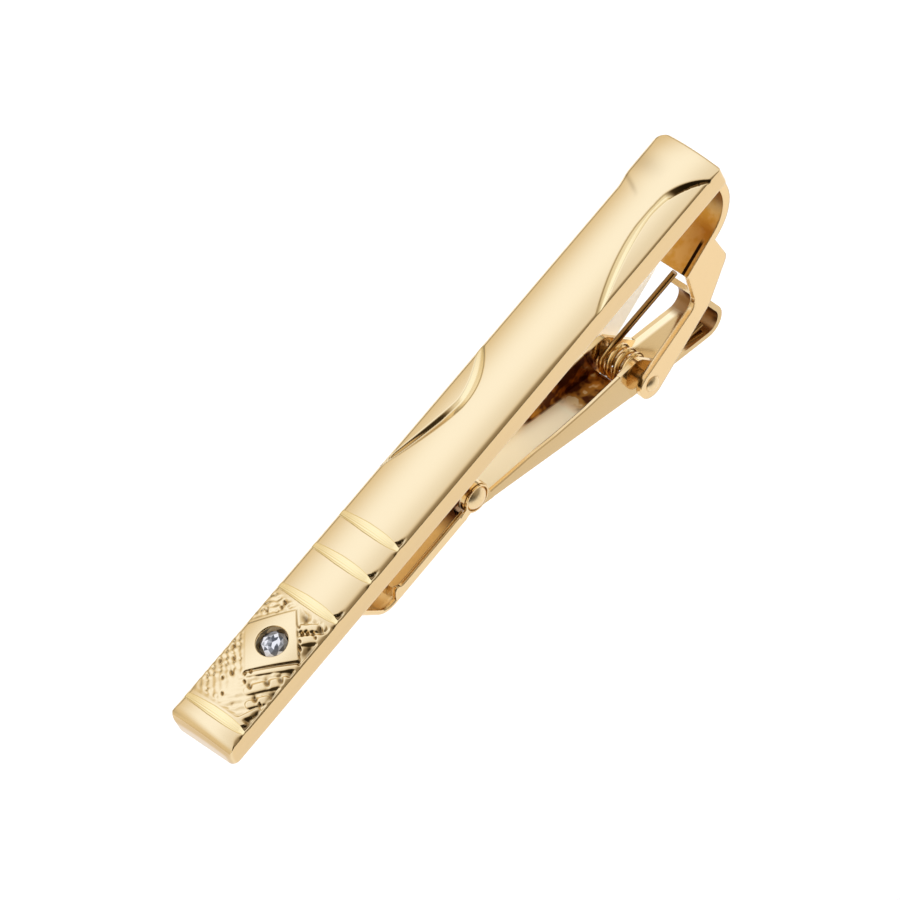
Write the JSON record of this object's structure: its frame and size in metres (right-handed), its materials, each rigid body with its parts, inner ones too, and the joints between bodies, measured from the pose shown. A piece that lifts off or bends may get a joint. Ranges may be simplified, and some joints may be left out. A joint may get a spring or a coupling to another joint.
{
  "type": "tie clip",
  "caption": "Gold-tone tie clip with a grooved, crowned front bar, a small set crystal and a spring-hinged clasp lever with a swivelling jaw behind it.",
  "frame": {"origin": "middle of the front bar's flat back face", "axes": "+X along the bar from the decorated end to the hinge end, +Z out of the bar's front, clasp toward -Z"},
  "size_m": [0.058, 0.0066, 0.0175],
  "materials": {
    "gold_bar": "polished, gold plated",
    "gold_clasp": "polished, gold plated",
    "spring_wire": "drawn, gold plated",
    "stone": "clear, faceted"
  },
  "bodies": {
    "frame": {"front_bar": "gold_bar", "crystal": "stone", "hinge_bracket": "gold_clasp", "hinge_pin": "gold_clasp"},
    "lever": {"lever_arm": "gold_clasp", "jaw_pin": "gold_clasp", "torsion_spring": "spring_wire"},
    "jaw": {"jaw": "gold_clasp"}
  },
  "joints": [
    {"name": "lever_hinge", "type": "hinge", "parent": "frame", "child": "lever", "pos_m": [0.01565, 0, -0.0111], "axis": [0, -1, 0], "range_deg": [0, 22], "stiffness_Nm_per_rad": 0.0375, "springref_deg": -30.37, "deforming": ["torsion_spring"]},
    {"name": "jaw_swivel", "type": "hinge", "parent": "lever", "child": "jaw", "pos_m": [-0.00105, 0, -0.00345], "axis": [0, -1, 0], "range_deg": [0, 15]}
  ]
}
